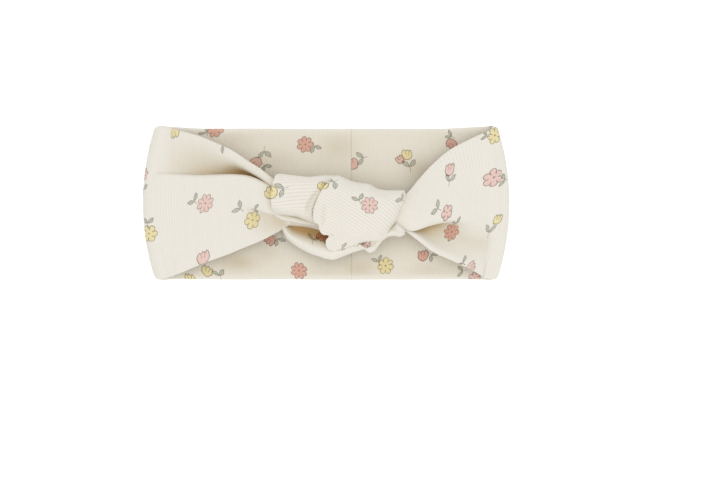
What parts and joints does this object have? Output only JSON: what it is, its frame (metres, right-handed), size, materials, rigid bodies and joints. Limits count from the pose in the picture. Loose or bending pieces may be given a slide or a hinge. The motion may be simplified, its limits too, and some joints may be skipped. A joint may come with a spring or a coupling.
{
  "type": "knotted headband",
  "caption": "Soft stretch headband of printed rib knit, laid flat, with wide side wings gathered into a loose overhand knot at the front.",
  "frame": {"origin": "centre of the flat underside of the back half, on the surface it lies on", "axes": "+X along the band to the wearer's left when worn, +Y across the band towards its upper edge, +Z from the back half up to the front half with the knot"},
  "size_m": [0.1824, 0.0766, 0.025],
  "materials": {
    "rib_knit": "cream double rib knit cotton with a small printed flower pattern, matt",
    "rib_knit_inside": "inner face of the same knit, matt, fine grid of stitches",
    "seam_allowance": "cut and pressed knit, matt",
    "sewing_thread": "cream spun polyester sewing thread, slight sheen"
  },
  "bodies": {
    "back": {"back_left_outer_layer": "rib_knit", "back_right_outer_layer": "rib_knit", "back_left_inner_layer": "rib_knit_inside", "back_right_inner_layer": "rib_knit_inside", "centre_back_seam_allowance": "seam_allowance", "centre_back_stitches": "sewing_thread", "back_left_closing_seam": "seam_allowance", "back_right_closing_seam": "seam_allowance"},
    "side_folds": {"left_side_fold": "rib_knit", "right_side_fold": "rib_knit"},
    "front": {"left_wing_main_panel": "rib_knit", "left_wing_upper_roll": "rib_knit", "right_wing_upper_lobe": "rib_knit", "right_wing_lower_fold": "rib_knit", "knot_under_pass": "rib_knit", "knot_left_wrap": "rib_knit", "knot_cover_wrap": "rib_knit", "knot_left_rolled_edge": "rib_knit", "knot_lower_loop": "rib_knit", "knot_tail_loop": "rib_knit", "knot_right_gather": "rib_knit"}
  },
  "joints": [
    {"name": "side_rise", "type": "slide", "parent": "back", "child": "side_folds", "axis": [0, 0, 1], "range_m": [0, 0.03]},
    {"name": "front_rise", "type": "slide", "parent": "side_folds", "child": "front", "axis": [0, 0, 1], "range_m": [0, 0.03]}
  ],
  "couplings": [
    {"joint": "front_rise", "follows": "side_rise", "ratio": 1}
  ]
}
